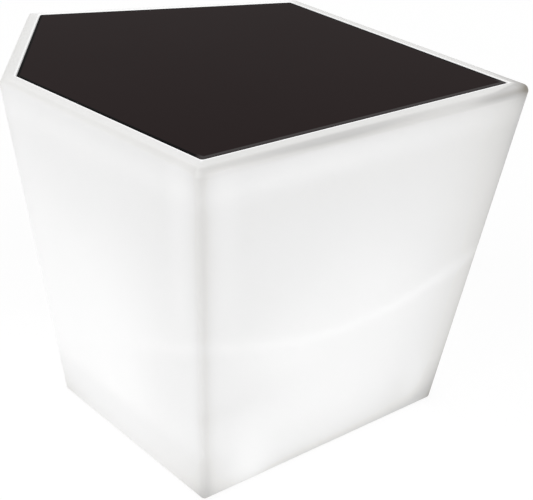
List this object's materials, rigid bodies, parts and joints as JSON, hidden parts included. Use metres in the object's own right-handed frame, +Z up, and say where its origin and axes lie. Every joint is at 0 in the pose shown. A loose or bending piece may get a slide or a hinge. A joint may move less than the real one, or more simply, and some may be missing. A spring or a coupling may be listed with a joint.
{
  "type": "light-up side table",
  "caption": "Side table that glows from inside: a hollow pentagonal shell that narrows towards the floor, a dark glass top let into its rim and a battery lamp unit in its base.",
  "frame": {"origin": "on the floor, under the middle of the rim's bounding box", "axes": "+Z up; -Y towards the corner that faces the viewer in the picture, +X to the viewer's right"},
  "size_m": [0.6398, 0.6568, 0.45],
  "materials": {
    "shell": "satin, translucent, lit from inside",
    "glass": "polished, opaque black",
    "white_plastic": "fine texture",
    "clear_silicone": "smooth, translucent",
    "black_rubber": "matte",
    "grey_rubber": "matte",
    "black_plastic": "satin",
    "steel": "zinc plated",
    "brass": "turned",
    "aluminium": "plain sheet",
    "board_green": "solder mask",
    "cell_wrap": "shrink wrap",
    "light_source": "clear resin",
    "frosted": "frosted",
    "wire": "smooth"
  },
  "bodies": {
    "base": {"body_shell": "shell", "glass_pad_1": "clear_silicone", "glass_pad_2": "clear_silicone", "glass_pad_3": "clear_silicone", "glass_pad_4": "clear_silicone", "glass_pad_5": "clear_silicone", "foot_1": "black_rubber", "foot_2": "black_rubber", "foot_3": "black_rubber", "foot_4": "black_rubber", "foot_5": "black_rubber", "foot_screw_1": "steel", "foot_screw_2": "steel", "foot_screw_3": "steel", "foot_screw_4": "steel", "foot_screw_5": "steel", "vent_plug": "grey_rubber", "lamp_gasket": "grey_rubber", "lamp_housing": "white_plastic", "shell_insert_1": "brass", "shell_insert_2": "brass", "shell_insert_3": "brass", "shell_insert_4": "brass", "housing_screw_1": "steel", "housing_screw_2": "steel", "housing_screw_3": "steel", "housing_screw_4": "steel", "button_switch": "black_plastic", "charge_socket": "black_plastic", "cap_pin": "steel", "status_lens": "frosted", "control_board": "board_green", "board_screw_1": "steel", "board_screw_2": "steel", "control_chip": "black_plastic", "radio_module": "steel", "board_connector": "white_plastic", "battery_tray": "black_plastic", "battery_cell_1": "cell_wrap", "battery_cell_2": "cell_wrap", "battery_cell_3": "cell_wrap", "battery_lead": "wire", "led_lead": "wire", "led_plate": "aluminium", "plate_screw_1": "steel", "plate_screw_2": "steel", "led_1": "light_source", "led_2": "light_source", "led_3": "light_source", "led_4": "light_source", "led_5": "light_source", "led_6": "light_source", "led_7": "light_source", "led_8": "light_source", "dome_seal": "grey_rubber", "lamp_dome": "frosted"},
    "glass": {"glass_top": "glass"},
    "button": {"power_button": "grey_rubber", "switch_plunger": "white_plastic"},
    "cap": {"socket_cap": "grey_rubber"}
  },
  "joints": [
    {"name": "glass_lift", "type": "slide", "parent": "base", "child": "glass", "axis": [0, 0, 1], "range_m": [0, 0.12]},
    {"name": "button_press", "type": "slide", "parent": "base", "child": "button", "axis": [0, 0, 1], "range_m": [0, 0.001], "stiffness_N_per_m": 1500, "springref_m": -0.0005},
    {"name": "cap_swing", "type": "hinge", "parent": "base", "child": "cap", "pos_m": [-0.0376, 0.04783, 0.0063], "axis": [0, -1, 0], "range_deg": [0, 100]}
  ]
}
